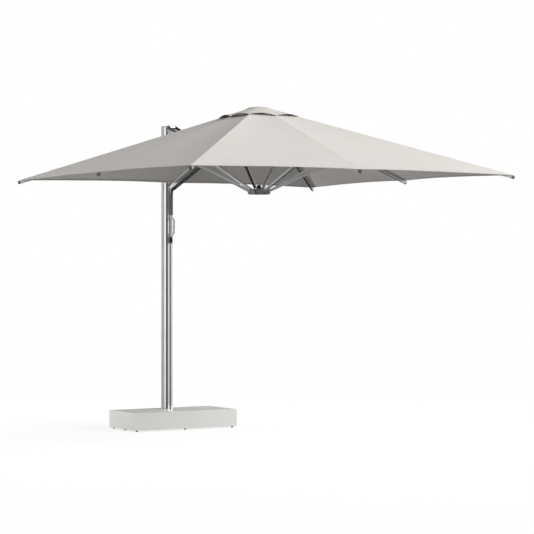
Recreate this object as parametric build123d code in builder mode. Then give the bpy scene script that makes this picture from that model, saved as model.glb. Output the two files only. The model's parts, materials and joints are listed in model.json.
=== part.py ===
from build123d import *
import os
from math import atan, cos, hypot, radians, sin, sqrt

# Cantilever parasol with a square canopy, in millimetres.
# The origin is the centre of the base on the floor. +Z is up, and +X runs from the
# mast towards the canopy. +Y is to the left of somebody who looks along +X.

os.makedirs("parts", exist_ok=True)

# base
BASE_X = 494.0
BASE_Y = 1027.0
FOOT_HEIGHT = 12.0
BASE_TOP = 165.0
COVER_WALL = 3.0
PLATE_TOP = 18.0
FLANGE_TOP = 28.0
BALLAST_TOP = 158.0
FOOT_RADIUS = 10.0
FOOT_X = 215.0
FOOT_Y = 483.0
FLANGE = (180.0, 140.0)
BOLT_PATTERN = (150.0, 110.0)
BOLT_R = 5.0
BOLT_HOLE_R = 5.5

# mast: a round tube with a slotted rail on the side that faces the canopy
MAST_X = -155.0
MAST_TOP = 2698.0
MAST_CAP_TOP = 2704.0
TUBE_R = 35.0
TUBE_WALL = 3.0
RAIL_FRONT = 98.0
RAIL_HALF = 24.0
RAIL_WALL = 4.0
SLOT_HALF = 5.5
STRIP_X = 79.5
STRIP_WIDTH = 35.0
STRIP_DEPTH = 1.5
SOCKET_CENTRE = (MAST_X + 25, 0)

# the linkage: strut and lower half of the arm are equally long, so the hub moves level
STRUT_LENGTH = 800.0
FOLD_START = 20.03
PIVOT_X = MAST_X + 125.0
STRUT_TOP_Z = 2690.0
HUB_X = PIVOT_X + 2 * STRUT_LENGTH * cos(radians(FOLD_START))
CARRIAGE_Z = STRUT_TOP_Z - 2 * STRUT_LENGTH * sin(radians(FOLD_START))
MIDDLE_X = (PIVOT_X + HUB_X) / 2
MIDDLE_Z = (STRUT_TOP_Z + CARRIAGE_Z) / 2

# layers across the arm: a tongue in the middle, then the arm's bars, then the strut.
# The carriage's tongue is a fork, because the tip of the rib over the mast passes through it.
TONGUE_HALF = 12.0
FORK_GAP_HALF = 9.3
ARM_INNER = 14.0
ARM_OUTER = 28.0
STRUT_INNER = 30.0
STRUT_OUTER = 37.0
ARM_HALF_DEPTH = 16.0
STRUT_HALF_DEPTH = 13.0
PIN_R = 8.0
RUNNING = 0.05
SPACER_PLACES = (150.0, 450.0, 700.0)
SPACER_HALF_LENGTH = 18.0

# carriage, handle and clamp, down the front of the rail
PLATE_BACK = MAST_X + RAIL_FRONT + 1
PLATE_FRONT = PLATE_BACK + 8
PLATE_LOW = CARRIAGE_Z - 238
PLATE_HIGH = CARRIAGE_Z + 20
LOCK_LOW = CARRIAGE_Z - 492
LOCK_HIGH = CARRIAGE_Z - 430
LOCK_FRONT = PLATE_BACK + 12

# hubs, ribs and stretchers
RIB_PIVOT_R = 75.0
RIB_PIVOT_Z = 2738.0
HALF_SIDE = 1500.0
MIDDLE_TIP_Z = 2170.0
CORNER_TIP_Z = 2160.0
RIB_HALF_WIDTH = 8.0
RIB_HALF_DEPTH = 13.0
RIB_WALL = 1.8
CAP_LENGTH = 24.0
HUB_R = 95.0
SLOT_INNER_R = 57.0
LOWER_HALF = 22.0
MIDDLE_REACH = 910.0
CORNER_REACH = 873.0
SMALL_PIN_R = 4.0
STRETCHER_HALF_WIDTH = 11.0
STRETCHER_HALF_DEPTH = 9.0
STRETCHER_WALL = 2.0

# fabric
FABRIC = 2.0
FABRIC_LIFT = 19.0
HEM = 1490.0
VENT_R = 230.0
SLIT_RADIUS = 843.0
SLIT_LENGTH = 96.0
SLIT_WIDTH = 2 * STRUT_OUTER + 14
SEAM_GAP = 0.3
VENT_CAP_R = 325.0
VENT_CAP_EDGE_Z = 2692.0
CROWN_R = 110.0
CROWN_Z = 2766.0

DIRECTIONS = {
    "front": 0,
    "front_left": 45,
    "left": 90,
    "back_left": 135,
    "back": 180,
    "back_right": 225,
    "right": 270,
    "front_right": 315,
}


def is_corner(azimuth):
    return azimuth % 90 != 0


def tip_radius(azimuth):
    return HALF_SIDE * sqrt(2) if is_corner(azimuth) else HALF_SIDE


def tip_z(azimuth):
    return CORNER_TIP_Z if is_corner(azimuth) else MIDDLE_TIP_Z


def slope(azimuth):
    """Fall of a rib for each millimetre outwards."""
    return (RIB_PIVOT_Z - tip_z(azimuth)) / (tip_radius(azimuth) - RIB_PIVOT_R)


def reach(azimuth):
    return CORNER_REACH if is_corner(azimuth) else MIDDLE_REACH


def on_rib(azimuth, distance):
    """Radius and height of the point this far along a rib from its pivot."""
    angle = atan(slope(azimuth))
    return RIB_PIVOT_R + distance * cos(angle), RIB_PIVOT_Z - distance * sin(angle)


LOWER_PIVOT_Z = RIB_PIVOT_Z - 2 * MIDDLE_REACH * sin(atan(slope(0)))


def radial_plane(azimuth):
    """Upright plane through the hub's axis: local x is the radius and local y the height."""
    a = radians(azimuth)
    return Plane(origin=(HUB_X, 0, 0), x_dir=(cos(a), sin(a), 0), z_dir=(sin(a), -cos(a), 0))


def bar_corners(start, end, half, before=0.0, after=0.0):
    """Corners of a straight bar between two points of a sketch."""
    length = hypot(end[0] - start[0], end[1] - start[1])
    ux, uy = (end[0] - start[0]) / length, (end[1] - start[1]) / length
    a = (start[0] - ux * before, start[1] - uy * before)
    b = (end[0] + ux * after, end[1] + uy * after)
    side = (-uy * half, ux * half)
    return [
        (a[0] + side[0], a[1] + side[1]),
        (a[0] - side[0], a[1] - side[1]),
        (b[0] - side[0], b[1] - side[1]),
        (b[0] + side[0], b[1] + side[1]),
    ]


def save(name, builder):
    builder.part.label = name
    export_step(builder.part, f"parts/{name}.step")


# ---- base ---------------------------------------------------------------------------------
SIDE_VIEW = Plane.XZ  # local x is X and local y is Z; its normal is -Y


def mast_outline(grow):
    """Outline of the mast, grown all round, in the current sketch."""
    with Locations((MAST_X, 0)):
        Circle(TUBE_R + grow)
    with Locations((MAST_X + (RAIL_FRONT + grow) / 2, 0)):
        Rectangle(RAIL_FRONT + grow, 2 * (RAIL_HALF + grow))


def make_base_cover():
    with BuildPart() as base_cover:
        with BuildSketch(Plane.XY.offset(FOOT_HEIGHT)):
            Rectangle(BASE_X, BASE_Y)
        extrude(amount=BASE_TOP - FOOT_HEIGHT)
        upper = base_cover.faces().sort_by(Axis.Z)[-1].edges()
        fillet(upper, 2)
        with BuildSketch(Plane.XY.offset(FOOT_HEIGHT)):
            Rectangle(BASE_X - 2 * COVER_WALL, BASE_Y - 2 * COVER_WALL)
        extrude(amount=BASE_TOP - COVER_WALL - FOOT_HEIGHT, mode=Mode.SUBTRACT)
        with BuildSketch(Plane.XY.offset(FOOT_HEIGHT)):
            mast_outline(1.0)
        extrude(amount=BASE_TOP, mode=Mode.SUBTRACT)
    save("base_cover", base_cover)


def make_base_plate():
    with BuildPart() as base_plate:
        with BuildSketch(Plane.XY.offset(FOOT_HEIGHT)):
            Rectangle(BASE_X - 2 * COVER_WALL - 1, BASE_Y - 2 * COVER_WALL - 1)
            with Locations(SOCKET_CENTRE):
                with GridLocations(*BOLT_PATTERN, 2, 2):
                    Circle(BOLT_HOLE_R, mode=Mode.SUBTRACT)
        extrude(amount=PLATE_TOP - FOOT_HEIGHT)
    save("base_plate", base_plate)


def make_mast_socket():
    with BuildPart() as mast_socket:
        with BuildSketch(Plane.XY.offset(PLATE_TOP)):
            with Locations(SOCKET_CENTRE):
                RectangleRounded(*FLANGE, 10)
                with GridLocations(*BOLT_PATTERN, 2, 2):
                    Circle(BOLT_HOLE_R, mode=Mode.SUBTRACT)
        extrude(amount=FLANGE_TOP - PLATE_TOP)
        with BuildSketch(Plane.XY.offset(FLANGE_TOP)):
            with Locations((MAST_X, 0)):
                Circle(TUBE_R - TUBE_WALL - 0.3)
                Circle(TUBE_R - TUBE_WALL - 6.3, mode=Mode.SUBTRACT)
        extrude(amount=300)
    save("mast_socket", mast_socket)


def make_socket_bolts():
    with BuildPart() as socket_bolts:
        with BuildSketch(Plane.XY.offset(FOOT_HEIGHT)):
            with Locations(SOCKET_CENTRE):
                with GridLocations(*BOLT_PATTERN, 2, 2):
                    Circle(BOLT_R)
        extrude(amount=FLANGE_TOP - FOOT_HEIGHT)
        with BuildSketch(Plane.XY.offset(FLANGE_TOP)):
            with Locations(SOCKET_CENTRE):
                with GridLocations(*BOLT_PATTERN, 2, 2):
                    RegularPolygon(9.5, 6)
        extrude(amount=6.4)
    save("socket_bolts", socket_bolts)


def make_ballast():
    height = BALLAST_TOP - PLATE_TOP
    with BuildPart() as ballast_blocks:
        with BuildSketch(Plane.XY.offset(PLATE_TOP)):
            with Locations((0, 298), (0, -298)):
                Rectangle(480, 412)
            with Locations((100, 0)):
                Rectangle(280, 176)
        extrude(amount=height)
        chamfer(ballast_blocks.edges().filter_by(Axis.Z), 6)
    save("ballast_blocks", ballast_blocks)


def make_base_feet():
    with BuildPart() as base_feet:
        with BuildSketch(Plane.XY):
            with GridLocations(FOOT_X, FOOT_Y, 3, 3):
                Circle(FOOT_RADIUS)
        extrude(amount=FOOT_HEIGHT)
        chamfer(base_feet.edges().group_by(Axis.Z)[0], 1.5)
    save("base_feet", base_feet)


# ---- mast ---------------------------------------------------------------------------------
def strip_places():
    offset = RAIL_HALF - STRIP_DEPTH / 2
    return (MAST_X + STRIP_X, offset), (MAST_X + STRIP_X, -offset)


def make_mast():
    with BuildPart() as mast:
        with BuildSketch(Plane.XY.offset(FLANGE_TOP)):
            mast_outline(0.0)
            with Locations((MAST_X, 0)):
                Circle(TUBE_R - TUBE_WALL, mode=Mode.SUBTRACT)
            cavity = RAIL_FRONT - RAIL_WALL - TUBE_R - TUBE_WALL
            with Locations((MAST_X + TUBE_R + TUBE_WALL + cavity / 2, 0)):
                Rectangle(cavity, 2 * (RAIL_HALF - RAIL_WALL), mode=Mode.SUBTRACT)
            with Locations((MAST_X + RAIL_FRONT, 0)):
                Rectangle(3 * RAIL_WALL, 2 * SLOT_HALF, mode=Mode.SUBTRACT)
            with Locations(*strip_places()):
                Rectangle(STRIP_WIDTH, STRIP_DEPTH, mode=Mode.SUBTRACT)
        extrude(amount=MAST_TOP - FLANGE_TOP)
    save("mast", mast)


def make_rail_strips():
    """Dark inlay down each side of the rail."""
    with BuildPart() as rail_strips:
        with BuildSketch(Plane.XY.offset(FLANGE_TOP)):
            with Locations(*strip_places()):
                Rectangle(STRIP_WIDTH - 0.1, STRIP_DEPTH - 0.02)
        extrude(amount=MAST_TOP - FLANGE_TOP)
    save("rail_strips", rail_strips)


def make_mast_cap():
    with BuildPart() as mast_cap:
        with BuildSketch(Plane.XY.offset(MAST_TOP)):
            mast_outline(0.0)
        extrude(amount=MAST_CAP_TOP - MAST_TOP)
        fillet(mast_cap.faces().sort_by(Axis.Z)[-1].edges(), 2.5)
        with BuildSketch(Plane.XY.offset(MAST_TOP)):
            with Locations((MAST_X, 0)):
                Circle(TUBE_R - TUBE_WALL - 0.2)
        extrude(amount=-20)
    save("mast_cap", mast_cap)


def make_top_bracket():
    """Block on the front of the rail that carries the strut's upper pivot."""
    back = MAST_X + RAIL_FRONT
    with BuildPart() as top_bracket:
        with BuildSketch(SIDE_VIEW):
            with Locations((PIVOT_X, STRUT_TOP_Z - 2)):
                Circle(16)
            with Locations(((back + PIVOT_X) / 2, STRUT_TOP_Z - 2)):
                Rectangle(PIVOT_X - back, 32)
            with Locations((back + 4, STRUT_TOP_Z - 18)):
                Rectangle(8, 64)
        extrude(amount=ARM_OUTER, both=True)
        with BuildSketch(SIDE_VIEW):
            with Locations((PIVOT_X, STRUT_TOP_Z)):
                Circle(PIN_R)
        extrude(amount=ARM_OUTER, both=True, mode=Mode.SUBTRACT)
    save("top_bracket", top_bracket)


def make_bracket_screws():
    front = MAST_X + RAIL_FRONT + 8
    with BuildPart() as bracket_screws:
        with BuildSketch(Plane.YZ.offset(front)):
            with Locations((-16, STRUT_TOP_Z - 38), (16, STRUT_TOP_Z - 38)):
                Circle(6)
        extrude(amount=4)
        with BuildSketch(Plane.YZ.offset(front + 4)):
            with Locations((-16, STRUT_TOP_Z - 38), (16, STRUT_TOP_Z - 38)):
                RegularPolygon(3, 6)
        extrude(amount=-2.5, mode=Mode.SUBTRACT)
    save("bracket_screws", bracket_screws)


def make_cross_pin(name, x, z, half_length, head_r=12.0, head=4.0):
    """Pivot pin along Y with a flat head at each end."""
    with BuildPart() as pin:
        with BuildSketch(SIDE_VIEW):
            with Locations((x, z)):
                Circle(PIN_R)
        extrude(amount=half_length, both=True)
        for side in (-1, 1):
            with BuildSketch(SIDE_VIEW.offset(side * half_length)):
                with Locations((x, z)):
                    Circle(head_r)
            extrude(amount=side * head)
        rims = pin.edges().filter_by(GeomType.CIRCLE).sort_by(Axis.Y)
        chamfer([rims[0], rims[-1]], 1.2)
    save(name, pin)


# ---- strut and arm ------------------------------------------------------------------------
def make_strut():
    with BuildPart() as strut:
        for side in (-1, 1):
            with BuildSketch(SIDE_VIEW.offset(side * STRUT_INNER)):
                ends = (PIVOT_X, STRUT_TOP_Z), (MIDDLE_X, MIDDLE_Z)
                with BuildLine():
                    Polyline(*bar_corners(*ends, STRUT_HALF_DEPTH), close=True)
                make_face()
                with Locations(*ends):
                    Circle(STRUT_HALF_DEPTH + 3)
                    Circle(PIN_R + RUNNING, mode=Mode.SUBTRACT)
            extrude(amount=side * (STRUT_OUTER - STRUT_INNER))
    save("strut", strut)


def make_arm():
    """Two parallel box profiles, which the rib and stretcher over the mast fold between."""
    foot, top = (PIVOT_X, CARRIAGE_Z), (HUB_X, STRUT_TOP_Z)
    wall = 2.0
    with BuildPart() as arm:
        for side in (-1, 1):
            with BuildSketch(SIDE_VIEW.offset(side * ARM_INNER)):
                with BuildLine():
                    Polyline(*bar_corners(foot, top, ARM_HALF_DEPTH), close=True)
                make_face()
                with Locations(foot, top):
                    Circle(ARM_HALF_DEPTH)
                    Circle(PIN_R + 0.02, mode=Mode.SUBTRACT)
                with Locations((MIDDLE_X, MIDDLE_Z)):
                    Circle(PIN_R + 0.02, mode=Mode.SUBTRACT)
            extrude(amount=side * (ARM_OUTER - ARM_INNER))
        for side in (-1, 1):
            for start, end in ((foot, (MIDDLE_X, MIDDLE_Z)), ((MIDDLE_X, MIDDLE_Z), top)):
                with BuildSketch(SIDE_VIEW.offset(side * (ARM_INNER + wall))):
                    with BuildLine():
                        inner = bar_corners(start, end, ARM_HALF_DEPTH - wall, -40, -40)
                        Polyline(*inner, close=True)
                    make_face()
                extrude(amount=side * (ARM_OUTER - ARM_INNER - 2 * wall), mode=Mode.SUBTRACT)
    save("arm", arm)


def along_arm(distance):
    """Point on the arm's centre line, measured down from the hub pivot."""
    angle = radians(FOLD_START)
    return HUB_X - distance * cos(angle), STRUT_TOP_Z - distance * sin(angle)


def make_arm_spacers():
    """Blocks that hold the two profiles apart, above the middle pivot."""
    with BuildPart() as arm_spacers:
        for distance in SPACER_PLACES:
            with BuildSketch(SIDE_VIEW):
                with BuildLine():
                    ends = (
                        along_arm(distance - SPACER_HALF_LENGTH),
                        along_arm(distance + SPACER_HALF_LENGTH),
                    )
                    Polyline(*bar_corners(*ends, ARM_HALF_DEPTH - 6), close=True)
                make_face()
            extrude(amount=ARM_INNER, both=True)
    save("arm_spacers", arm_spacers)


def make_arm_foot_pins():
    """Short pivot studs at the carriage end, one in each profile."""
    with BuildPart() as arm_foot_pins:
        for side in (-1, 1):
            with BuildSketch(SIDE_VIEW.offset(side * (ARM_INNER - 1))):
                with Locations((PIVOT_X, CARRIAGE_Z)):
                    Circle(PIN_R)
            extrude(amount=side * (ARM_OUTER - ARM_INNER + 1))
            with BuildSketch(SIDE_VIEW.offset(side * ARM_OUTER)):
                with Locations((PIVOT_X, CARRIAGE_Z)):
                    Circle(12)
            extrude(amount=side * 4)
    save("arm_foot_pins", arm_foot_pins)


# ---- carriage -----------------------------------------------------------------------------
def make_slider():
    """Runner inside the rail, with the neck that comes out through the slot."""
    z_mid = (LOCK_LOW + PLATE_HIGH) / 2
    height = PLATE_HIGH - LOCK_LOW
    inside = RAIL_FRONT - RAIL_WALL - 2
    with BuildPart() as slider:
        with BuildSketch(Plane.XY.offset(LOCK_LOW)):
            with Locations((MAST_X + inside - 16, 0)):
                Rectangle(32, 2 * (RAIL_HALF - RAIL_WALL - 1))
            with Locations((MAST_X + RAIL_FRONT - 6, 0)):
                Rectangle(14, 2 * (SLOT_HALF - 1))
        extrude(amount=height)
        chamfer(slider.edges().group_by(Axis.Z)[-1], 1)
        with BuildSketch(SIDE_VIEW):
            with Locations((MAST_X + inside - 16, z_mid - 4)):
                Rectangle(40, height - 200)
        extrude(amount=RAIL_HALF, both=True, mode=Mode.SUBTRACT)
        with BuildSketch(Plane.XY.offset(LOCK_LOW)):
            with Locations((MAST_X + RAIL_FRONT - 6, 0)):
                Rectangle(14, 2 * (SLOT_HALF - 1))
        extrude(amount=height)
    save("slider", slider)


def make_carriage():
    """Front plate over the slot, with the forked tongue that the arm straddles."""
    gap_depth = 120
    with BuildPart() as carriage:
        with BuildSketch(Plane.XY.offset(PLATE_LOW)):
            with Locations(((PLATE_BACK + PLATE_FRONT) / 2, 0)):
                Rectangle(PLATE_FRONT - PLATE_BACK, 2 * RAIL_HALF)
        extrude(amount=PLATE_HIGH - PLATE_LOW)
        fillet(carriage.edges().filter_by(Axis.Z).sort_by(Axis.X)[-2:], 3)
        with BuildSketch(SIDE_VIEW):
            with Locations((PIVOT_X, CARRIAGE_Z)):
                Circle(18)
            with BuildLine():
                Polyline(
                    (PLATE_BACK + 2, CARRIAGE_Z + 18),
                    (PIVOT_X, CARRIAGE_Z + 18),
                    (PIVOT_X + 17, CARRIAGE_Z - 6),
                    (PLATE_FRONT, CARRIAGE_Z - 90),
                    (PLATE_BACK + 2, CARRIAGE_Z - 90),
                    close=True,
                )
            make_face()
        extrude(amount=TONGUE_HALF, both=True)
        with BuildSketch(SIDE_VIEW):
            with Locations((PLATE_FRONT + 0.5 + gap_depth / 2, CARRIAGE_Z)):
                Rectangle(gap_depth, 2 * gap_depth)
        extrude(amount=FORK_GAP_HALF, both=True, mode=Mode.SUBTRACT)
    save("carriage", carriage)


def make_handle():
    """D-shaped grip on the front of the carriage, a loop of round-edged bar."""
    high, low = PLATE_LOW - 1, LOCK_HIGH + 1
    outer = PIVOT_X + 48
    with BuildPart() as handle:
        with BuildSketch(SIDE_VIEW):
            with BuildLine():
                FilletPolyline(
                    (PLATE_BACK, high),
                    (PLATE_BACK + 14, high),
                    (outer, high - 52),
                    (outer - 4, low + 26),
                    (PLATE_BACK + 20, low),
                    (PLATE_BACK, low),
                    radius=9,
                    close=True,
                )
            make_face()
            offset(amount=-12, kind=Kind.INTERSECTION, mode=Mode.SUBTRACT)
        extrude(amount=7, both=True)
        fillet(handle.edges().filter_by(Plane.XZ), 3)
    save("handle", handle)


def make_lock_block():
    middle = (LOCK_LOW + LOCK_HIGH) / 2
    with BuildPart() as lock_block:
        with BuildSketch(Plane.YZ.offset(PLATE_BACK)):
            with Locations((0, middle)):
                RectangleRounded(34, LOCK_HIGH - LOCK_LOW, 5)
        extrude(amount=LOCK_FRONT - PLATE_BACK)
        with BuildSketch(Plane.YZ.offset(LOCK_FRONT)):
            with Locations((0, middle)):
                Circle(SMALL_PIN_R + RUNNING)
        extrude(amount=-9, mode=Mode.SUBTRACT)
    save("lock_block", lock_block)


def make_lock_knob():
    middle = (LOCK_LOW + LOCK_HIGH) / 2
    with BuildPart() as lock_knob:
        with BuildSketch(Plane.YZ.offset(LOCK_FRONT - 8)):
            with Locations((0, middle)):
                Circle(SMALL_PIN_R)
        extrude(amount=12)
        with BuildSketch(Plane.YZ.offset(LOCK_FRONT + 0.5)):
            with Locations((0, middle)):
                Circle(13)
        extrude(amount=6)
        with BuildSketch(Plane.YZ.offset(LOCK_FRONT + 6.5)):
            with Locations((0, middle)):
                SlotOverall(26, 11, rotation=90)
        extrude(amount=10)
        chamfer(lock_knob.faces().sort_by(Axis.X)[-1].edges(), 1.5)
    save("lock_knob", lock_knob)


# ---- hubs ---------------------------------------------------------------------------------
def slot_plane(azimuth, z):
    """Level plane with its local x along a rib."""
    a = radians(azimuth)
    return Plane(origin=(HUB_X, 0, z), x_dir=(cos(a), sin(a), 0))


def make_upper_hub():
    """Disc with a slot for each rib, and below it the tongue that the arm carries."""
    with BuildPart() as upper_hub:
        with BuildSketch(Plane.XY.offset(RIB_PIVOT_Z - 16)):
            with Locations((HUB_X, 0)):
                Circle(HUB_R)
        extrude(amount=30)
        for azimuth in DIRECTIONS.values():
            with BuildSketch(slot_plane(azimuth, RIB_PIVOT_Z - 20)):
                with Locations((SLOT_INNER_R + HUB_R, 0)):
                    Rectangle(2 * HUB_R, 2 * RIB_HALF_WIDTH + 2)
            extrude(amount=40, mode=Mode.SUBTRACT)
        with BuildSketch(SIDE_VIEW):
            with Locations((HUB_X, STRUT_TOP_Z)):
                Circle(20)
            with Locations((HUB_X, (STRUT_TOP_Z + RIB_PIVOT_Z - 15) / 2)):
                Rectangle(40, RIB_PIVOT_Z - 15 - STRUT_TOP_Z)
        extrude(amount=TONGUE_HALF, both=True)
        with BuildSketch(SIDE_VIEW):
            with Locations((HUB_X, STRUT_TOP_Z)):
                Circle(PIN_R + RUNNING)
        extrude(amount=ARM_OUTER, both=True, mode=Mode.SUBTRACT)
        for azimuth in DIRECTIONS.values():
            with BuildSketch(radial_plane(azimuth)):
                with Locations((RIB_PIVOT_R, RIB_PIVOT_Z)):
                    Circle(SMALL_PIN_R)
            extrude(amount=RIB_HALF_WIDTH + 7, both=True, mode=Mode.SUBTRACT)
    save("upper_hub", upper_hub)


def make_rib_pins():
    with BuildPart() as rib_pins:
        for azimuth in DIRECTIONS.values():
            with BuildSketch(radial_plane(azimuth)):
                with Locations((RIB_PIVOT_R, RIB_PIVOT_Z)):
                    Circle(SMALL_PIN_R - 0.02)
            extrude(amount=RIB_HALF_WIDTH + 6.5, both=True)
    save("rib_pins", rib_pins)


def make_crown():
    """Low round-edged disc on the hub, under the middle of the vent cap."""
    with BuildPart() as crown:
        with BuildSketch(Plane.XY.offset(RIB_PIVOT_Z + 14)):
            with Locations((HUB_X, 0)):
                Circle(HUB_R - 7)
        extrude(amount=10)
        fillet(crown.edges().group_by(Axis.Z)[-1], 6)
    save("crown", crown)


def make_lower_hub():
    with BuildPart() as lower_hub:
        with BuildSketch(Plane.XY.offset(LOWER_PIVOT_Z - LOWER_HALF)):
            with Locations((HUB_X, 0)):
                Circle(HUB_R)
        extrude(amount=2 * LOWER_HALF)
        chamfer(lower_hub.edges().group_by(Axis.Z)[0], 10)
        chamfer(lower_hub.edges().group_by(Axis.Z)[-1], 2)
        for azimuth in DIRECTIONS.values():
            with BuildSketch(slot_plane(azimuth, LOWER_PIVOT_Z - 30)):
                with Locations((SLOT_INNER_R + HUB_R, 0)):
                    Rectangle(2 * HUB_R, 2 * STRETCHER_HALF_WIDTH + 2)
            extrude(amount=60, mode=Mode.SUBTRACT)
    save("lower_hub", lower_hub)


def make_lower_knob():
    top = LOWER_PIVOT_Z + LOWER_HALF
    with BuildPart() as lower_knob:
        with BuildSketch(Plane.XY.offset(top)):
            with Locations((HUB_X, 0)):
                Circle(24)
        extrude(amount=8)
        with BuildSketch(Plane.XY.offset(top + 8)):
            with Locations((HUB_X, 0)):
                Circle(18)
        extrude(amount=26)
        fillet(lower_knob.edges().group_by(Axis.Z)[-1], 7)
    save("lower_knob", lower_knob)


# ---- ribs, caps and stretchers ------------------------------------------------------------
def rib_length(azimuth):
    return hypot(tip_radius(azimuth) - RIB_PIVOT_R, RIB_PIVOT_Z - tip_z(azimuth)) - CAP_LENGTH


def make_rib(name, azimuth):
    start = (RIB_PIVOT_R, RIB_PIVOT_Z)
    end = on_rib(azimuth, rib_length(azimuth))
    with BuildPart() as rib:
        with BuildSketch(radial_plane(azimuth)):
            with BuildLine():
                Polyline(*bar_corners(start, end, RIB_HALF_DEPTH), close=True)
            make_face()
            with Locations(start):
                Circle(RIB_HALF_DEPTH)
                Circle(SMALL_PIN_R + RUNNING, mode=Mode.SUBTRACT)
            with Locations(on_rib(azimuth, reach(azimuth))):
                Circle(SMALL_PIN_R + RUNNING, mode=Mode.SUBTRACT)
        extrude(amount=RIB_HALF_WIDTH, both=True)
        with BuildSketch(radial_plane(azimuth)):
            with BuildLine():
                inside = RIB_HALF_DEPTH - RIB_WALL
                Polyline(*bar_corners(start, end, inside, before=-30, after=1), close=True)
            make_face()
        extrude(amount=RIB_HALF_WIDTH - RIB_WALL, both=True, mode=Mode.SUBTRACT)
    save(name, rib)


def make_rib_cap(name, azimuth):
    joint = on_rib(azimuth, rib_length(azimuth))
    tip = on_rib(azimuth, rib_length(azimuth) + CAP_LENGTH)
    with BuildPart() as rib_cap:
        with BuildSketch(radial_plane(azimuth)):
            with BuildLine():
                Polyline(*bar_corners(joint, tip, RIB_HALF_DEPTH + 0.5), close=True)
            make_face()
        extrude(amount=RIB_HALF_WIDTH + 0.5, both=True)
        fillet(rib_cap.faces().sort_by(Axis.Z)[0].edges(), 3)
        with BuildSketch(radial_plane(azimuth)):
            with BuildLine():
                plug = RIB_HALF_DEPTH - RIB_WALL - 0.2
                Polyline(*bar_corners(joint, tip, plug, before=30, after=-10), close=True)
            make_face()
        extrude(amount=RIB_HALF_WIDTH - RIB_WALL - 0.2, both=True)
    save(name, rib_cap)


def make_stretcher(name, azimuth):
    """Channel, open below, with its cheeks on each side of the rib and a pin at each end."""
    top = on_rib(azimuth, reach(azimuth))
    low = (RIB_PIVOT_R, LOWER_PIVOT_Z)
    length = hypot(top[0] - low[0], top[1] - low[1])
    out = ((top[0] - low[0]) / length, (top[1] - low[1]) / length)
    drop = STRETCHER_WALL
    low_web = (low[0] + out[1] * drop, low[1] - out[0] * drop)
    top_web = (top[0] + out[1] * drop, top[1] - out[0] * drop)
    with BuildPart() as stretcher:
        with BuildSketch(radial_plane(azimuth)):
            with BuildLine():
                Polyline(*bar_corners(low, top, STRETCHER_HALF_DEPTH), close=True)
            make_face()
            with Locations(low, top):
                Circle(STRETCHER_HALF_DEPTH)
        extrude(amount=STRETCHER_HALF_WIDTH, both=True)
        with BuildSketch(radial_plane(azimuth)):
            with BuildLine():
                Polyline(*bar_corners(low_web, top_web, STRETCHER_HALF_DEPTH), close=True)
            make_face()
            for end, sign in ((low, 1), (top, -1)):
                near = (end[0] - sign * out[0] * 12, end[1] - sign * out[1] * 12)
                far = (end[0] + sign * out[0] * 42, end[1] + sign * out[1] * 42)
                with BuildLine():
                    Polyline(*bar_corners(near, far, STRETCHER_HALF_DEPTH + 2), close=True)
                make_face()
        inner = STRETCHER_HALF_WIDTH - STRETCHER_WALL
        extrude(amount=inner, both=True, mode=Mode.SUBTRACT)
        with BuildSketch(radial_plane(azimuth)):
            with Locations(low, top):
                Circle(SMALL_PIN_R)
        extrude(amount=STRETCHER_HALF_WIDTH - 1, both=True)
    save(name, stretcher)


# ---- fabric -------------------------------------------------------------------------------
def ridge_point(azimuth, radius):
    """Top of the fabric over a rib."""
    a = radians(azimuth)
    z = RIB_PIVOT_Z + FABRIC_LIFT - slope(azimuth) * (radius - RIB_PIVOT_R)
    return Vector(HUB_X + radius * cos(a), radius * sin(a), z)


def hem_radius(azimuth):
    return HEM * sqrt(2) if is_corner(azimuth) else HEM


def half_gore(azimuth, side):
    """Corners of the flat panel from a rib to the middle of the gore beside it."""
    neighbour = azimuth + 45 * side
    inner, outer = ridge_point(azimuth, VENT_R), ridge_point(azimuth, hem_radius(azimuth))
    other = ridge_point(neighbour, hem_radius(neighbour))
    seam = radians(azimuth + 22.5 * side)
    axis = Vector(HUB_X, 0, 0)
    along = Vector(cos(seam), sin(seam), 0)
    across = Vector(-sin(seam), cos(seam), 0) * side
    # where the hem, from this rib's end to the next one's, meets the middle of the gore
    near, far = (outer - axis).dot(across), (other - axis).dot(across)
    share = (-SEAM_GAP - near) / (far - near)
    hem_middle = outer + (other - outer) * share
    normal = (outer - inner).cross(hem_middle - inner)
    inner_flat = axis + along * VENT_R - across * SEAM_GAP
    rise = normal.dot(inner - inner_flat) / normal.Z
    inner_middle = inner_flat + Vector(0, 0, rise)
    return inner, outer, hem_middle, inner_middle


def make_fabric(name, azimuth):
    with BuildPart() as fabric:
        for side in (-1, 1):
            panel = Face(Wire.make_polygon(half_gore(azimuth, side), close=True))
            extrude(panel, amount=FABRIC, dir=(0, 0, -1))
        if azimuth == 180:
            with BuildSketch(Plane.XY.offset(MIDDLE_Z)):
                with Locations((HUB_X - SLIT_RADIUS, 0)):
                    RectangleRounded(SLIT_LENGTH, SLIT_WIDTH, 8)
            extrude(amount=200, mode=Mode.SUBTRACT)
    save(name, fabric)


def make_vent_cap():
    """Eight-sided cap over the opening in the middle of the canopy."""
    with BuildPart() as vent_cap:
        for drop, mode in ((0.0, Mode.ADD), (FABRIC, Mode.SUBTRACT)):
            with BuildSketch(Plane.XY.offset(VENT_CAP_EDGE_Z - drop)):
                with Locations((HUB_X, 0)):
                    RegularPolygon(VENT_CAP_R, 8)
            with BuildSketch(Plane.XY.offset(CROWN_Z - drop)):
                with Locations((HUB_X, 0)):
                    RegularPolygon(CROWN_R, 8)
            loft(mode=mode)
    save("vent_cap", vent_cap)


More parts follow.
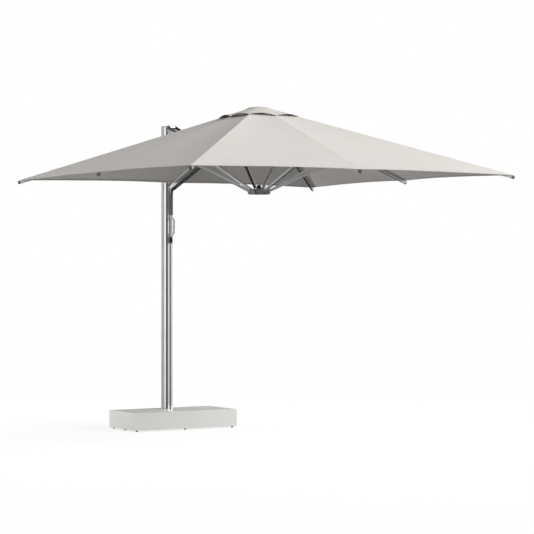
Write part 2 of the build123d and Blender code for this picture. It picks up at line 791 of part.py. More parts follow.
make_base_cover()
make_base_plate()
make_mast_socket()
make_socket_bolts()
make_ballast()
make_base_feet()
make_mast()
make_rail_strips()
make_mast_cap()
make_top_bracket()
make_bracket_screws()
make_cross_pin("top_pivot_pin", PIVOT_X, STRUT_TOP_Z, STRUT_OUTER + 0.5)
make_strut()
make_cross_pin("middle_pivot_pin", MIDDLE_X, MIDDLE_Z, STRUT_OUTER + 0.5)
make_arm()
make_arm_spacers()
make_arm_foot_pins()
make_cross_pin("hub_pivot_pin", HUB_X, STRUT_TOP_Z, ARM_OUTER)
make_slider()
make_carriage()
make_handle()
make_lock_block()
make_lock_knob()
make_upper_hub()
make_rib_pins()
make_crown()
make_lower_hub()
make_lower_knob()
make_vent_cap()
for place, angle in DIRECTIONS.items():
    make_rib(f"rib_{place}", angle)
    make_rib_cap(f"rib_cap_{place}", angle)
    make_stretcher(f"stretcher_{place}", angle)
    make_fabric(f"fabric_{place}", angle)
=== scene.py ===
"""Cantilever parasol: materials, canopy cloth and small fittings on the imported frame."""

import json
from math import asin, cos, pi, radians, sin, sqrt, tan

import bpy
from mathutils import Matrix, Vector


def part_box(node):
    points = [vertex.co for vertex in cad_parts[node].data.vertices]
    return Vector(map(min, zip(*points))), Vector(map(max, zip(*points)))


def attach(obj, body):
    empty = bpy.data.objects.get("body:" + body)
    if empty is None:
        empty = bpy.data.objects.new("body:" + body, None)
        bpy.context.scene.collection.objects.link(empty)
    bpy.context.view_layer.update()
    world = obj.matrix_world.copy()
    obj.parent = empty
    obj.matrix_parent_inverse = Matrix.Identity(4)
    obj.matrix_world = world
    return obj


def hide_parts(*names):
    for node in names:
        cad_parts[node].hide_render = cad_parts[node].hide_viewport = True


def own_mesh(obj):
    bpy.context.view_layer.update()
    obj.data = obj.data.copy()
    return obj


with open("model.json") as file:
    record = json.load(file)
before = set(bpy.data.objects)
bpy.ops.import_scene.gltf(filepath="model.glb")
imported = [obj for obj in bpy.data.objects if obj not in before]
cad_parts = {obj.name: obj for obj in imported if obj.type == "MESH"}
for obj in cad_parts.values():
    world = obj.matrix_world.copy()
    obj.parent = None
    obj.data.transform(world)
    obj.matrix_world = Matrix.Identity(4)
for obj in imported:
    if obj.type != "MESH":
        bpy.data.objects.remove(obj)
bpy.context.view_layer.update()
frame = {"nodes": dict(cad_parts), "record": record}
record = frame["record"]

# azimuth of each rib and its gores, in degrees from +X, named as seen from the mast
DIRECTIONS = {
    "front": 0,
    "front_left": 45,
    "left": 90,
    "back_left": 135,
    "back": 180,
    "back_right": 225,
    "right": 270,
    "front_right": 315,
}


# ---- places: the canopy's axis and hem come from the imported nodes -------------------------
def middle(node):
    low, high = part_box(node)
    return (low + high) / 2


HUB = middle("upper_hub")
AXIS = Vector((HUB.x, HUB.y, 0))  # the canopy's axis, on the floor
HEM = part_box("fabric_front")[1].x - AXIS.x  # half width of the square canopy

# the ribs' top lines, in metres: they fall outward from the pivots at the hub
PIVOT_R = 0.075
PIVOT_Z = 2.738
LIFT = 0.019  # the cloth above the pivots
MIDDLE_SLOPE = 0.3986
CORNER_SLOPE = 0.2825

# the cover
CLOTH_THICKNESS = 0.0012
HALF_GORE = 22.5  # half of a gore's angle at the hub, in degrees
HEM_CUT = 0.042  # how far the hem is cut in between two ribs
HEM_SAG = 0.006  # between two ribs, at the hem
MIDDLE_SAG = 0.012  # and halfway to the hem
HEM_FOLDS = ((0.003, 0.0), (0.0045, 0.006), (0.0045, 0.026))  # depth below, way back inward
SLIT_R, SLIT_HALF_LENGTH, SLIT_HALF_WIDTH = 0.843, 0.048, 0.044  # where the strut passes through
SLIT_COLUMN = 5  # column of the grid that is moved on to the slit's edge

# the vent cap over the opening in the cover
VENT_R = 0.23  # the opening's radius
VENT_CORNER_R = 0.345
VENT_MIDDLE_R = 0.28
VENT_PULL = (VENT_MIDDLE_R * sqrt(2) - VENT_CORNER_R) / VENT_CORNER_R
VENT_CLEAR = 0.005  # cap above the cover at the ribs
VENT_CUT, VENT_BOW = 0.006, 0.019  # its hem between two ribs: cut in, and bowed up
VENT_FOLDS = ((0.0025, 0.0), (0.0035, 0.004), (0.0025, 0.018))
VENT_FOLD_SLOPE = 0.23
VENT_INNER_R = 0.1
CROWN_THICKNESS = 0.0015
CROWN_R, CROWN_INNER_R = 0.106, 0.004
CROWN_TOP_Z = 2.7685
CROWN_EDGE_Z = 2.753

# seams, hems and threads
SEAM_HALF = 0.008  # half width of the seam allowance over a rib
SEAM_EDGE = 0.006  # width of the next column of the grid
HEM_BAND = 0.024
BAND_EDGE = 0.0012  # over which a band's thickness ends
STITCH_INSET = 0.002  # from a band's inner edge
EDGE_STITCH = 0.004  # from the hem
WEAVE_PITCH = 0.0011
STITCH_PITCH = 0.0042
PUCKER_PITCH = 0.021


# ---- node graphs --------------------------------------------------------------------------
class Graph:
    """A material's node graph, with a short way to add and join nodes."""

    def __init__(self, name):
        self.material = bpy.data.materials.new(name)
        self.material.use_nodes = True
        self.tree = self.material.node_tree
        self.shader = next(n for n in self.tree.nodes if n.type == "BSDF_PRINCIPLED")

    def add(self, kind, values=None, **settings):
        node = self.tree.nodes.new("ShaderNode" + kind)
        for key, value in settings.items():
            setattr(node, key, value)
        for socket, value in (values or {}).items():
            self.put(node, socket, value)
        return node

    def put(self, node, socket, value):
        target = node.inputs[socket]
        if isinstance(value, bpy.types.NodeSocket):
            self.tree.links.new(value, target)
        else:
            target.default_value = value

    def math(self, operation, a, b=0.0):
        node = self.add("Math", operation=operation)
        self.put(node, 0, a)
        self.put(node, 1, b)
        return node.outputs[0]

    def mix(self, factor, a, b):
        node = self.add("Mix", data_type="RGBA")
        self.put(node, "Factor", factor)
        for socket, value in (("A", a), ("B", b)):
            target = next(i for i in node.inputs if i.name == socket and i.type == "RGBA")
            if isinstance(value, bpy.types.NodeSocket):
                self.tree.links.new(value, target)
            else:
                target.default_value = (*value, 1.0)
        return next(o for o in node.outputs if o.type == "RGBA")

    def place(self, scale=(1, 1, 1)):
        coordinates = self.add("TexCoord")
        mapping = self.add("Mapping")
        self.tree.links.new(coordinates.outputs["Object"], mapping.inputs["Vector"])
        mapping.inputs["Scale"].default_value = scale
        return mapping.outputs[0]

    def noise(self, vector, scale, detail=3.0, roughness=0.55):
        values = {"Vector": vector, "Scale": scale, "Detail": detail, "Roughness": roughness}
        return self.add("TexNoise", values).outputs[0]

    def range(self, value, from_low, from_high, to_low, to_high):
        values = {
            "Value": value,
            "From Min": from_low,
            "From Max": from_high,
            "To Min": to_low,
            "To Max": to_high,
        }
        return self.add("MapRange", values).outputs[0]

    def bump(self, height, distance, strength=1.0, below=None):
        values = {"Height": height, "Distance": distance, "Strength": strength}
        node = self.add("Bump", values)
        if below is not None:
            self.tree.links.new(below, node.inputs["Normal"])
        return node.outputs[0]

    def set(self, **values):
        for key, value in values.items():
            self.put(self.shader, key.replace("_", " "), value)


def srgb(*channels):
    """Linear colour from 0-255 channels."""
    shares = [c / 255 for c in channels]
    return tuple(s / 12.92 if s <= 0.04045 else ((s + 0.055) / 1.055) ** 2.4 for s in shares)


def shade(colour, factor):
    """Darker or lighter colour."""
    return tuple(min(1.0, c * factor) for c in colour)


def edge_wear(graph, radius=0.0015):
    """1 on sharp edges, 0 on flat faces."""
    bevel = graph.add("Bevel", {"Radius": radius}, samples=4)
    geometry = graph.add("NewGeometry")
    dot = graph.add("VectorMath", operation="DOT_PRODUCT")
    graph.tree.links.new(bevel.outputs[0], dot.inputs[0])
    graph.tree.links.new(geometry.outputs["Normal"], dot.inputs[1])
    return graph.range(dot.outputs["Value"], 0.99, 0.75, 0.0, 1.0)


def metal(name, colour, rough, grain=(1, 1, 1), streak=0.08, bump=0.00003, metallic=1.0, coat=0.0):
    """Drawn, cast or plated metal: directional grain, cloudy tarnish and rubbed edges."""
    g = Graph(name)
    fine = g.noise(g.place(grain), 900, 2)
    cloud = g.noise(g.place(), 5, 4)
    smudge = g.noise(g.place((1, 1, 0.5)), 38, 5, 0.7)
    tint = g.mix(g.range(cloud, 0.35, 0.7, 0, 1), shade(colour, 0.93), shade(colour, 1.05))
    tint = g.mix(g.range(fine, 0.3, 0.7, 0, streak * 2), tint, shade(colour, 0.7))
    wear = edge_wear(g)
    tint = g.mix(g.math("MULTIPLY", wear, 0.35), tint, shade(colour, 1.5))
    dull = g.range(smudge, 0.3, 0.75, rough * 0.85, rough * 1.3)
    dull = g.math("ADD", dull, g.math("MULTIPLY", wear, 0.08))
    g.set(Base_Color=tint, Metallic=metallic, Roughness=dull, Coat_Weight=coat)
    g.set(Normal=g.bump(fine, bump, 0.6))
    return g.material


def bar_shaded_below(name, colour, dark, rough):
    """Brushed satin bar, open below: light sides, and painted shade, a near-black band, on every
    face that looks down.
    """
    g = Graph(name)
    fine = g.noise(g.place((1, 1, 0.05)), 900, 2)
    cloud = g.noise(g.place(), 6, 4)
    tint = g.mix(g.range(cloud, 0.3, 0.7, 0, 1), shade(colour, 0.94), shade(colour, 1.04))
    tint = g.mix(g.range(fine, 0.3, 0.7, 0, 0.12), tint, shade(colour, 0.72))
    wear = edge_wear(g, 0.001)
    tint = g.mix(g.math("MULTIPLY", wear, 0.3), tint, shade(colour, 1.3))
    coordinates = g.add("TexCoord")
    up = g.add("SeparateXYZ", {"Vector": coordinates.outputs["Normal"]}).outputs["Z"]
    # painted shade: faces that look down get the dark colour and less metal, as if in shadow
    below = g.range(up, -0.45, -0.3, 1, 0)
    mottle = g.range(g.noise(g.place(), 300, 3), 0.3, 0.7, 0, 1)
    painted_underside_shade = g.mix(mottle, shade(dark, 0.85), shade(dark, 1.2))
    g.set(Base_Color=g.mix(below, tint, painted_underside_shade))
    g.set(Metallic=g.math("MULTIPLY", g.math("SUBTRACT", 1.0, below), 0.45))
    smudge = g.noise(g.place(), 40, 4, 0.7)
    g.set(Roughness=g.range(smudge, 0.3, 0.75, rough * 0.85, rough * 1.25))
    g.set(Normal=g.bump(fine, 0.00002, 0.6))
    return g.material


def plastic(name, colour, rough, pebble=0.00006, scale=1400):
    """Moulded plastic: fine spark texture, faint flow clouds, paler rubbed edges."""
    g = Graph(name)
    spark = g.noise(g.place(), scale, 2)
    cloud = g.noise(g.place(), 12, 4)
    tint = g.mix(g.range(cloud, 0.3, 0.7, 0, 1), shade(colour, 0.88), shade(colour, 1.12))
    wear = edge_wear(g, 0.001)
    tint = g.mix(g.math("MULTIPLY", wear, 0.3), tint, tuple(c + 0.12 for c in colour))
    dust = g.noise(g.place(), 70, 5, 0.65)
    dull = g.range(dust, 0.3, 0.75, rough * 0.85, rough * 1.25)
    g.set(Base_Color=tint, Roughness=dull, IOR=1.47)
    g.set(Normal=g.bump(spark, pebble, 0.7))
    return g.material


def base_finish(name, colour):
    """Powder-coated sheet: fine orange peel, faint clouds, scuffed lower edge."""
    g = Graph(name)
    peel = g.noise(g.place(), 520, 2)
    speck = g.noise(g.place(), 1500, 2)
    cloud = g.noise(g.place(), 3.2, 5, 0.6)
    tint = g.mix(g.range(cloud, 0.3, 0.7, 0, 1), shade(colour, 0.993), shade(colour, 1.007))
    tint = g.mix(g.range(speck, 0.62, 0.78, 0, 0.06), tint, shade(colour, 0.72))
    position = g.add("TexCoord")
    split = g.add("SeparateXYZ", {"Vector": position.outputs["Object"]})
    low = g.range(split.outputs["Z"], 0.012, 0.05, 1, 0)
    scuff = g.range(g.noise(g.place((1, 1, 3)), 26, 6, 0.7), 0.5, 0.72, 0, 0.2)
    tint = g.mix(g.math("MULTIPLY", low, scuff), tint, shade(colour, 0.6))
    wear = edge_wear(g, 0.003)
    tint = g.mix(g.math("MULTIPLY", wear, 0.35), tint, shade(colour, 1.18))
    dull = g.range(g.noise(g.place(), 14, 5, 0.65), 0.3, 0.75, 0.27, 0.3)
    g.set(Base_Color=tint, Roughness=dull, Specular_IOR_Level=0.5)
    g.set(Normal=g.bump(peel, 0.00008, 0.55))
    return g.material


def concrete(name, colour):
    """Cast concrete: sandy speckle, cloudy tone and small pores."""
    g = Graph(name)
    sand = g.noise(g.place(), 420, 4, 0.7)
    pores = g.add("TexVoronoi", {"Vector": g.place(), "Scale": 120.0}).outputs["Distance"]
    cloud = g.noise(g.place(), 9, 5, 0.6)
    tint = g.mix(g.range(cloud, 0.3, 0.7, 0, 1), shade(colour, 0.82), shade(colour, 1.12))
    tint = g.mix(g.range(sand, 0.55, 0.8, 0, 0.4), tint, shade(colour, 0.6))
    height = g.math("ADD", g.math("MULTIPLY", sand, 0.6), g.range(pores, 0.0, 0.22, 0, 1))
    g.set(Base_Color=tint, Roughness=0.9, Normal=g.bump(height, 0.0006, 0.8))
    return g.material


def cloth(name, colour):
    """Woven acrylic: threads, slubs, seams and stitches, from the cloth's own coordinates in
    metres and its distances from seam and hem."""
    g = Graph(name)
    uv = g.add("UVMap", uv_map="cloth").outputs[0]
    split = g.add("SeparateXYZ", {"Vector": uv})
    across, along = split.outputs["X"], split.outputs["Y"]
    warp = g.math("SINE", g.math("MULTIPLY", across, 2 * pi / WEAVE_PITCH))
    weft = g.math("SINE", g.math("MULTIPLY", along, 2 * pi / WEAVE_PITCH))
    weave = g.math("MULTIPLY", warp, weft)
    stretch_a = g.add("Mapping", {"Vector": uv, "Scale": (900, 22, 1)}).outputs[0]
    stretch_b = g.add("Mapping", {"Vector": uv, "Scale": (22, 900, 1)}).outputs[0]
    slub = g.math("ADD", g.noise(stretch_a, 1, 2), g.noise(stretch_b, 1, 2))
    cloud = g.noise(uv, 3.5, 4, 0.6)
    mottle = g.noise(uv, 46, 4, 0.6)
    tint = g.mix(g.range(cloud, 0.3, 0.7, 0, 1), shade(colour, 0.965), shade(colour, 1.03))
    tint = g.mix(g.range(mottle, 0.35, 0.7, 0, 0.25), tint, shade(colour, 0.93))
    tint = g.mix(g.range(slub, 0.75, 1.3, 0, 0.35), tint, shade(colour, 0.88))
    tint = g.mix(g.range(weave, -1, 1, 0.16, 0), tint, shade(colour, 0.72))
    # seam allowance over each rib, hem band, and two rows of stitches on each
    seam = g.math("ABSOLUTE", g.add("Attribute", attribute_name="seam").outputs["Fac"])
    hem = g.add("Attribute", attribute_name="hem").outputs["Fac"]
    seam_band = g.range(seam, SEAM_HALF, SEAM_HALF + BAND_EDGE, 1, 0)
    hem_band = g.range(hem, HEM_BAND, HEM_BAND + BAND_EDGE, 1, 0)
    band = g.math("MAXIMUM", seam_band, hem_band)
    tint = g.mix(g.math("MULTIPLY", band, 0.35), tint, shade(colour, 0.9))
    stitch_seam = row_of_stitches(g, seam, SEAM_HALF - STITCH_INSET, along)
    stitch_hem = row_of_stitches(g, hem, HEM_BAND - STITCH_INSET, across)
    stitch_edge = row_of_stitches(g, hem, EDGE_STITCH, across)
    stitches = g.math("MAXIMUM", g.math("MAXIMUM", stitch_seam, stitch_hem), stitch_edge)
    tint = g.mix(g.math("MULTIPLY", stitches, 0.8), tint, shade(colour, 1.22))
    g.set(Base_Color=tint, Roughness=g.range(mottle, 0.3, 0.7, 0.8, 0.92))
    g.set(Sheen_Weight=0.12, Sheen_Roughness=0.5, Specular_IOR_Level=0.25)
    wave = g.math("SINE", g.math("MULTIPLY", along, 2 * pi / PUCKER_PITCH))
    pucker = g.math("MULTIPLY", wave, g.range(seam, 0.0, 0.03, 1, 0))
    normal = g.bump(weave, 0.00012, 0.5)
    normal = g.bump(slub, 0.00016, 0.5, normal)
    normal = g.bump(band, 0.0009, 0.8, normal)
    normal = g.bump(stitches, 0.0006, 0.8, normal)
    normal = g.bump(pucker, 0.0005, 0.5, normal)
    g.set(Normal=normal)
    return g.material


def row_of_stitches(g, distance, where, run):
    """1 on dashes along a line at the given distance, 0 elsewhere."""
    offset = g.math("ABSOLUTE", g.math("SUBTRACT", distance, where))
    line = g.range(offset, 0.0003, 0.0007, 1, 0)
    dash = g.math("FRACT", g.math("MULTIPLY", run, 1 / STITCH_PITCH))
    return g.math("MULTIPLY", line, g.range(dash, 0.62, 0.72, 1, 0))


# ---- materials ----------------------------------------------------------------------------
LONG_UP, LONG_OUT = (1, 1, 0.012), (0.02, 1, 1)  # grain drawn along the mast, along the arm

MATERIALS = {
    "base_paint": base_finish("base_paint_look", srgb(205, 206, 201)),
    "dark_steel": metal("dark_steel_look", srgb(70, 70, 72), 0.45, bump=0.00006),
    "zinc": metal("zinc_look", srgb(150, 152, 155), 0.38, bump=0.00005),
    "concrete": concrete("concrete_look", srgb(150, 147, 142)),
    "rubber": plastic("rubber_look", srgb(28, 28, 29), 0.75, 0.0001, 700),
    "polished_aluminium": metal(
        "polished_aluminium_look", srgb(214, 214, 217), 0.13, LONG_UP, 0.05, 0.00001
    ),
    "grey_plastic": plastic("grey_plastic_look", srgb(122, 122, 124), 0.42),
    "satin_aluminium": metal(
        "satin_aluminium_look", srgb(205, 205, 207), 0.28, LONG_OUT, 0.07, 0.00002
    ),
    "black_steel": metal(
        "black_steel_look", srgb(26, 26, 28), 0.38, bump=0.00005, metallic=0.3, coat=0.15
    ),
    "dark_plastic": plastic("dark_plastic_look", srgb(145, 145, 147), 0.42),
    "handle_grey": plastic("handle_grey_look", srgb(212, 212, 213), 0.38),
    "black_plastic": plastic("black_plastic_look", srgb(26, 26, 27), 0.45),
    "hub_alloy": metal("hub_alloy_look", srgb(192, 192, 195), 0.4, bump=0.0001),
    "fabric": cloth("cloth_look", srgb(202, 198, 193)),
    # the second colour is painted shade for the bars' downward faces
    "rib_grey": bar_shaded_below("rib_grey_shaded_below_look", srgb(222, 222, 224), srgb(30, 30, 31), 0.36),
    "cap_silver": metal("cap_silver_look", srgb(128, 128, 130), 0.42, bump=0.00003),
}

for part in record["subparts"]:
    target = frame["nodes"][part["node"]]
    for material_slot in target.material_slots:
        material_slot.material = MATERIALS[part["material_slot"]]


# ---- cloth --------------------------------------------------------------------------------
def ridge_z(radius, slope):
    """Height of the cloth over a rib."""
    return PIVOT_Z + LIFT - slope * (radius - PIVOT_R)


def off_middle(azimuth):
    """Angle from the nearest middle rib, in radians, for an azimuth in degrees."""
    return abs(radians(azimuth - 90 * round(azimuth / 90)))


def on_plan(azimuth, radius, z):
    a = radians(azimuth)
    return Vector((AXIS.x + radius * cos(a), AXIS.y + radius * sin(a), z))


def arch(share):
    """0 at both ribs, 1 halfway between them."""
    return 4 * share * (1 - share)


def hem_radius(theta):
    """Plan radius of the hem at theta from the nearest middle rib; cut in between the ribs."""
    return HEM / cos(theta) - HEM_CUT * arch(tan(theta))


def cloth_point(azimuth, radius):
    """A point of the canopy's top: on the ribs it is at the CAD's height, between them it sags,
    most halfway to the hem."""
    theta = off_middle(azimuth)
    x = radius * cos(theta)
    share = min(1.0, tan(theta))
    on_middle = ridge_z(x, MIDDLE_SLOPE)
    on_corner = ridge_z(x * sqrt(2), CORNER_SLOPE)
    sag = HEM_SAG * x / HEM + MIDDLE_SAG * sin(pi * min(1.0, x / HEM))
    return on_plan(azimuth, radius, on_middle + (on_corner - on_middle) * share - sag * arch(share))


def gore_angles(radius, steps):
    """Angles across half a gore in degrees: the seam's width first, then even steps to its edge."""
    seam = [0.0, asin(SEAM_HALF / radius), asin((SEAM_HALF + SEAM_EDGE) / radius)]
    last = radians(HALF_GORE)
    rest = [seam[-1] + (last - seam[-1]) * k / steps for k in range(1, steps + 1)]
    return [s * 180 / pi for s in seam + rest]


def fit_slit(angles, radius):
    """Moves one column of the grid on to the slit's edge and spreads the others evenly."""
    edge = asin(SLIT_HALF_WIDTH / radius) * 180 / pi
    low, high = angles[2], angles[-1]
    k, last = SLIT_COLUMN, len(angles) - 1
    near = [low + (edge - low) * (n - 2) / (k - 2) for n in range(3, k + 1)]
    far = [edge + (high - edge) * (n - k) / (last - k) for n in range(k + 1, last + 1)]
    return angles[:3] + near + far


def make_sheet(name, rows, attributes, thickness, skip=None):
    """Grid of points (rows across, then along) as a cloth mesh with UVs in metres."""
    points = [p for row in rows for p in row]
    count = len(rows[0])
    faces = []
    for i in range(len(rows) - 1):
        for j in range(count - 1):
            if skip and skip(i, j):
                continue
            here, below = i * count + j, (i + 1) * count + j
            faces.append((here, below, below + 1, here + 1))
    mesh = bpy.data.meshes.new(name)
    mesh.from_pydata(points, [], faces)
    mesh.update()
    if sum(p.normal.z * p.area for p in mesh.polygons) < 0:
        mesh.flip_normals()
    for key in ("seam", "hem"):
        layer = mesh.attributes.new(key, "FLOAT", "POINT")
        values = [attributes[key](n // count, n % count) for n in range(len(points))]
        layer.data.foreach_set("value", values)
    layer = mesh.uv_layers.new(name="cloth")
    for loop in mesh.loops:
        n = loop.vertex_index
        layer.data[loop.index].uv = attributes["uv"](n // count, n % count)
    mesh.shade_smooth()
    piece = bpy.data.objects.new(name, mesh)
    bpy.context.scene.collection.objects.link(piece)
    mesh.materials.append(MATERIALS["fabric"])
    solidify = piece.modifiers.new("thickness", "SOLIDIFY")
    solidify.thickness = thickness
    solidify.offset = -1
    bake(piece)
    piece.data.set_sharp_from_angle(angle=radians(50))
    return piece


def bake(piece):
    """Applies a piece's modifiers."""
    depsgraph = bpy.context.evaluated_depsgraph_get()
    mesh = bpy.data.meshes.new_from_object(piece.evaluated_get(depsgraph))
    piece.modifiers.clear()
    piece.data = mesh


def directions_at(azimuth):
    """Unit vectors outward along a rib and sideways from it."""
    a = radians(azimuth)
    return Vector((cos(a), sin(a), 0)), Vector((-sin(a), cos(a), 0))


def gore_attributes(rows, count, out, side, turned, stretch):
    """Distances from seam and hem, and UVs in metres. The part that is turned under gets the hem
    distance turned; stretch is the slope's length over its length on plan."""

    def local(i, j):
        p = rows[i][j] - AXIS
        return p.dot(side), p.dot(out)

    return {
        "seam": lambda i, j: local(i, j)[0],
        "hem": lambda i, j: (rows[i][j] - rows[count][j]).length if i <= count else turned,
        "uv": lambda i, j: (local(i, j)[0], local(i, j)[1] * stretch),
    }


def make_gore(place, azimuth, steps=12, count=34):
    """One of eight wedges of the canopy, centred on its rib, with a turned-under hem."""
    out, side = directions_at(azimuth)
    slit_low, slit_high = SLIT_R - SLIT_HALF_LENGTH, SLIT_R + SLIT_HALF_LENGTH
    shares = [k / count for k in range(count + 1)]
    reach = hem_radius(off_middle(azimuth)) - VENT_R
    if place == "back":
        for cut in (slit_low, slit_high):
            share = (cut - VENT_R) / reach
            closest = min(range(1, count), key=lambda k: abs(shares[k] - share))
            shares[closest] = share
    rows = []
    for share in shares:
        near = VENT_R + share * reach
        angles = gore_angles(near, steps)
        if place == "back":
            angles = fit_slit(angles, near)
        row = []
        for angle in [-a for a in reversed(angles[1:])] + angles:
            hem = hem_radius(off_middle(azimuth + angle))
            row.append(cloth_point(azimuth + angle, VENT_R + share * (hem - VENT_R)))
        rows.append(row)
    # the hem turns down and back under itself
    last, before = rows[-1], rows[-2]
    for depth, back in HEM_FOLDS:
        turned = []
        for point, previous in zip(last, before):
            inward = (previous - point).normalized()
            turned.append(point + inward * back + Vector((0, 0, -depth)))
        rows.append(turned)

    def in_slit(i, j):
        if place != "back" or i >= count:
            return False
        mid = (rows[i][j] + rows[i + 1][j + 1]) / 2 - AXIS
        return slit_low < mid.dot(out) < slit_high and abs(mid.dot(side)) < SLIT_HALF_WIDTH

    attributes = gore_attributes(rows, count, out, side, turned=0.02, stretch=1.07)
    piece = make_sheet(f"canopy_{place}", rows, attributes, CLOTH_THICKNESS, in_slit)
    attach(piece, f"rib_{place}")
    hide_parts(f"fabric_{place}")
    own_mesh(piece)


def vent_edge(theta):
    """Radius and height of the vent cap's hem at theta from the nearest middle rib, and how far it
    bows up there: it touches the canopy at every rib."""
    straight = VENT_MIDDLE_R / (cos(theta) + VENT_PULL * sin(theta))
    share = straight * sin(theta) / (VENT_CORNER_R * sin(pi / 4))
    on_middle = ridge_z(VENT_MIDDLE_R, MIDDLE_SLOPE)
    on_corner = ridge_z(VENT_CORNER_R, CORNER_SLOPE)
    height = on_middle + (on_corner - on_middle) * share + VENT_CLEAR
    return straight - VENT_CUT * arch(share), height, VENT_BOW * arch(share)


def make_vent_gore(place, azimuth, steps=10, count=14):
    """One of eight wedges of the cap over the opening, with its hem turned under."""
    out, side = directions_at(azimuth)
    top = CROWN_EDGE_Z + 0.0005
    rows = []
    for k in range(count + 1):
        share = k / count
        row = []
        for m in range(-steps, steps + 1):
            angle = azimuth + HALF_GORE * m / steps
            reach, low, rise = vent_edge(off_middle(angle))
            radius = VENT_INNER_R + share * (reach - VENT_INNER_R)
            row.append(on_plan(angle, radius, top + (low - top) * share + rise * share**2.2))
        rows.append(row)
    last = rows[-1]
    for depth, back in VENT_FOLDS:
        turned = []
        for point in last:
            inward = (AXIS - point).normalized()
            inward.z = 0
            lift = Vector((0, 0, back * VENT_FOLD_SLOPE - depth))
            turned.append(point + inward.normalized() * back + lift)
        rows.append(turned)
    attributes = gore_attributes(rows, count, out, side, turned=0.015, stretch=1.04)
    piece = make_sheet(f"vent_{place}", rows, attributes, CLOTH_THICKNESS)
    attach(piece, f"rib_{place}")
    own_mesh(piece)


def make_crown_cloth(rings=9, columns=48):
    """Low rounded top of the vent cap, over the crown disc, with a stitched edge."""
    rows = []
    for k in range(rings + 1):
        radius = CROWN_INNER_R + (CROWN_R - CROWN_INNER_R) * k / rings
        z = CROWN_TOP_Z + (CROWN_EDGE_Z - CROWN_TOP_Z) * (radius / CROWN_R) ** 5
        rows.append([on_plan(360 * m / columns, radius, z) for m in range(columns + 1)])
    attributes = {
        "seam": lambda i, j: 0.05,
        "hem": lambda i, j: (rows[i][j] - rows[rings][j]).length,
        "uv": lambda i, j: ((rows[i][j] - AXIS).x, (rows[i][j] - AXIS).y),
    }
    piece = make_sheet("vent_crown", rows, attributes, CROWN_THICKNESS)
    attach(piece, "hub")
    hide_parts("vent_cap")


for compass, azimuth in DIRECTIONS.items():
    make_gore(compass, azimuth)
    make_vent_gore(compass, azimuth)
make_crown_cloth()


# ---- floor, light and camera --------------------------------------------------------------
FLOOR_REACH = 40
FLOOR_GLOW = 0.79
FLOOR_BOUNCE = 0.215


def make_floor():
    """White floor that takes a faint shadow; it sends little light up and isn't mirrored."""
    mesh = bpy.data.meshes.new("floor")
    r = FLOOR_REACH
    mesh.from_pydata([(-r, -r, 0), (r, -r, 0), (r, r, 0), (-r, r, 0)], [], [(0, 1, 2, 3)])
    floor = bpy.data.objects.new("floor", mesh)
    bpy.context.scene.collection.objects.link(floor)
    g = Graph("floor_look")
    g.set(Base_Color=(0.2, 0.2, 0.2, 1), Roughness=0.9, Specular_IOR_Level=0.05)
    g.set(Emission_Color=(1, 1, 1, 1), Emission_Strength=FLOOR_GLOW)
    plain = g.add("BsdfDiffuse", {"Color": (FLOOR_BOUNCE, FLOOR_BOUNCE, FLOOR_BOUNCE, 1)})
    clear = g.add("BsdfTransparent")
    path = g.add("LightPath")
    indirect, seen = g.add("MixShader"), g.add("MixShader")
    output = next(n for n in g.tree.nodes if n.type == "OUTPUT_MATERIAL")
    g.tree.links.new(path.outputs["Is Glossy Ray"], indirect.inputs[0])
    g.tree.links.new(plain.outputs[0], indirect.inputs[1])
    g.tree.links.new(clear.outputs[0], indirect.inputs[2])
    g.tree.links.new(path.outputs["Is Camera Ray"], seen.inputs[0])
    g.tree.links.new(indirect.outputs[0], seen.inputs[1])
    g.tree.links.new(g.shader.outputs[0], seen.inputs[2])
    g.tree.links.new(seen.outputs[0], output.inputs["Surface"])
    mesh.materials.append(g.material)


def add_sun(name, strength, spread, toward):
    """Broad soft light that shines from the direction given."""
    data = bpy.data.lights.new(name, "SUN")
    data.energy = strength
    data.angle = radians(spread)
    light = bpy.data.objects.new(name, data)
    light.rotation_euler = Vector(toward).to_track_quat("Z", "Y").to_euler()
    bpy.context.scene.collection.objects.link(light)


# brightness of the studio walls that metal reflects, by share of a turn from -X through -Y, +X
# and +Y; the short bright band near -X lights the side of the mast's rail
STUDIO_BANDS = [
    (0.0, 0.46), (0.06, 0.44), (0.074, 1.0), (0.103, 1.0), (0.116, 0.44), (0.33, 0.44),
    (0.355, 0.95), (0.4, 1.0), (0.5, 0.85), (0.55, 0.72), (0.6, 0.72), (0.66, 0.74),
    (0.8, 0.7), (0.86, 0.3), (0.94, 0.27), (1.0, 0.46),
]
# and by height, from straight down to straight up
STUDIO_LEVELS = [(0.0, 0.06), (0.25, 0.12), (0.36, 0.45), (0.45, 0.62), (0.49, 1.0)]
STUDIO_STRENGTH = 1.38
FILL_STRENGTH = 0.3
MIX_A, MIX_B, MIX_RESULT = 6, 7, 2  # a Mix node's colour sockets


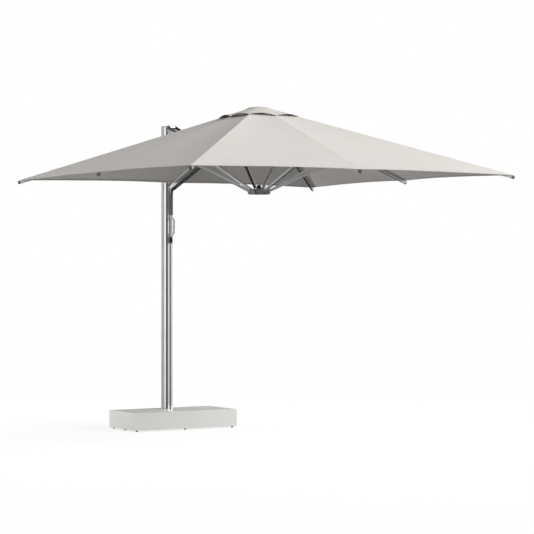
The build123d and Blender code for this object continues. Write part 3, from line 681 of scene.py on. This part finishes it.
def make_world():
    """White studio: the camera sees white, metal reflects walls with soft bands, and everything
    gets an even fill."""
    world = bpy.data.worlds.new("studio")
    world.use_nodes = True
    nodes, links = world.node_tree.nodes, world.node_tree.links
    nodes.clear()

    def node(kind, **values):
        made = nodes.new("ShaderNode" + kind)
        for key, value in values.items():
            made.inputs[key.replace("_", " ")].default_value = value
        return made

    def grey_ramp(stops, value):
        ramp = node("ValToRGB")
        elements = ramp.color_ramp.elements
        while len(elements) < len(stops):
            elements.new(0.5)
        for element, (position, level) in zip(elements, stops):
            element.position = position
            element.color = (level, level, level, 1)
        links.new(value, ramp.inputs[0])
        return ramp.outputs[0]

    output = node("OutputWorld")
    white = node("Background", Color=(1, 1, 1, 1), Strength=1.0)
    fill = node("Background", Color=(1, 1, 1, 1), Strength=FILL_STRENGTH)
    studio = node("Background", Strength=STUDIO_STRENGTH)
    split = node("SeparateXYZ")
    links.new(node("TexCoord").outputs["Generated"], split.inputs[0])
    turn = node("Math")
    turn.operation = "ARCTAN2"
    links.new(split.outputs["Y"], turn.inputs[0])
    links.new(split.outputs["X"], turn.inputs[1])
    share = node("MapRange", From_Min=-pi, From_Max=pi)
    links.new(turn.outputs[0], share.inputs["Value"])
    height = node("MapRange", From_Min=-1, From_Max=1)
    links.new(split.outputs["Z"], height.inputs["Value"])
    walls = grey_ramp(STUDIO_BANDS, share.outputs[0])
    level = grey_ramp(STUDIO_LEVELS, height.outputs[0])
    both = node("Mix")
    both.data_type = "RGBA"
    both.blend_type = "MULTIPLY"
    both.inputs["Factor"].default_value = 1.0
    links.new(walls, both.inputs[MIX_A])
    links.new(level, both.inputs[MIX_B])
    links.new(both.outputs[MIX_RESULT], studio.inputs["Color"])
    path = node("LightPath")
    indirect, seen = node("MixShader"), node("MixShader")
    links.new(path.outputs["Is Glossy Ray"], indirect.inputs[0])
    links.new(fill.outputs[0], indirect.inputs[1])
    links.new(studio.outputs[0], indirect.inputs[2])
    links.new(path.outputs["Is Camera Ray"], seen.inputs[0])
    links.new(indirect.outputs[0], seen.inputs[1])
    links.new(white.outputs[0], seen.inputs[2])
    links.new(seen.outputs[0], output.inputs[0])
    bpy.context.scene.world = world


def add_softbox(name, energy, extent, place, toward):
    """Soft box light; it isn't seen or mirrored."""
    data = bpy.data.lights.new(name, "AREA")
    data.shape = "RECTANGLE"
    data.size, data.size_y = extent
    data.energy = energy
    light = bpy.data.objects.new(name, data)
    light.location = place
    light.rotation_euler = (Vector(toward) - light.location).to_track_quat("-Z", "Y").to_euler()
    light.visible_camera = False
    light.visible_glossy = False
    bpy.context.scene.collection.objects.link(light)


CAMERA_PLACE, CAMERA_HEADING = (15.649, -8.632, 1.439), (-0.852, 0.5235, 0)
SENSOR, LENS = 36, 134.57  # millimetres


def make_camera():
    """Level camera, 1.4 m above the floor and far off."""
    data = bpy.data.cameras.new("camera")
    data.sensor_width = SENSOR
    data.lens = LENS
    data.clip_end = 200
    camera = bpy.data.objects.new("camera", data)
    camera.location = CAMERA_PLACE
    camera.rotation_euler = Vector(CAMERA_HEADING).to_track_quat("-Z", "Y").to_euler()
    bpy.context.scene.collection.objects.link(camera)
    bpy.context.scene.camera = camera


make_floor()
make_world()
add_sun("key", 3.55, 40, (0.62, 0.55, 0.53))
add_softbox("low_fill", 148, (2.4, 0.6), (-2.2, -3.6, 0.8), (0.4, -0.4, 1.0))
add_softbox("front_fill", 13, (1.2, 0.5), (3.0, -1.2, 0.35), (0.2, 0.0, 0.1))
add_softbox("right_fill", 75, (2.5, 2.5), (5.0, 4.0, 4.2), (2.6, 1.6, 2.3))
make_camera()
bpy.context.scene.view_settings.view_transform = "Standard"
